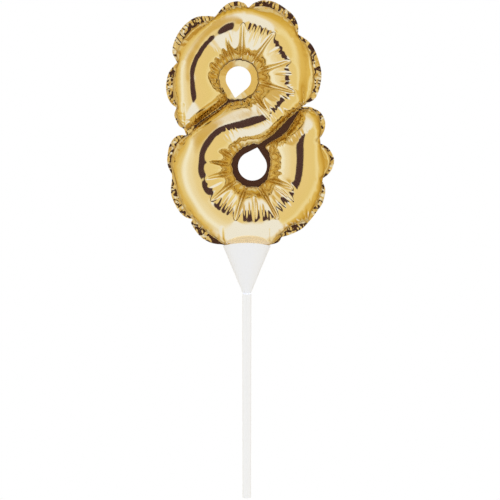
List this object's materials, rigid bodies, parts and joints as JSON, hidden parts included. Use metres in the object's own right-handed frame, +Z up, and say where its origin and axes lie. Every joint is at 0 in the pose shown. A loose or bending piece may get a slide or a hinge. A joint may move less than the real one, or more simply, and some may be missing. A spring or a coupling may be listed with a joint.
{
  "type": "foil number balloon",
  "caption": "Small gold foil number balloon, inflated through one S-shaped chamber, standing in a white cup that turns and pulls off on a stick for pushing into a cake.",
  "frame": {"origin": "centre of the small flat at the foot of the stick, on the stick's axis", "axes": "+Z up along the stick, +X to the right of a viewer who reads the number, -Y towards that viewer"},
  "size_m": [0.088, 0.0276, 0.2614],
  "materials": {
    "foil": "metallised gold film, mirror bright, crinkled along its welds",
    "sachet_film": "thin clear film, burst open",
    "white_plastic": "moulded white plastic, satin"
  },
  "bodies": {
    "stick": {"stick": "white_plastic"},
    "cup": {"balloon_cup": "white_plastic"},
    "balloon": {"front_foil_panel": "foil", "back_foil_panel": "foil"},
    "sachet": {"sachet_front_film": "sachet_film", "sachet_back_film": "sachet_film"}
  },
  "joints": [
    {"name": "cup_swivel", "type": "hinge", "parent": "stick", "child": "cup", "pos_m": [0, 0, 0.1075], "axis": [0, 0, 1], "continuous": true},
    {"name": "balloon_lift", "type": "slide", "parent": "cup", "child": "balloon", "axis": [0, 0, 1], "range_m": [0, 0.025]},
    {"name": "sachet_slide", "type": "slide", "parent": "balloon", "child": "sachet", "axis": [1, 0, 0], "range_m": [-0.004, 0.004]}
  ]
}
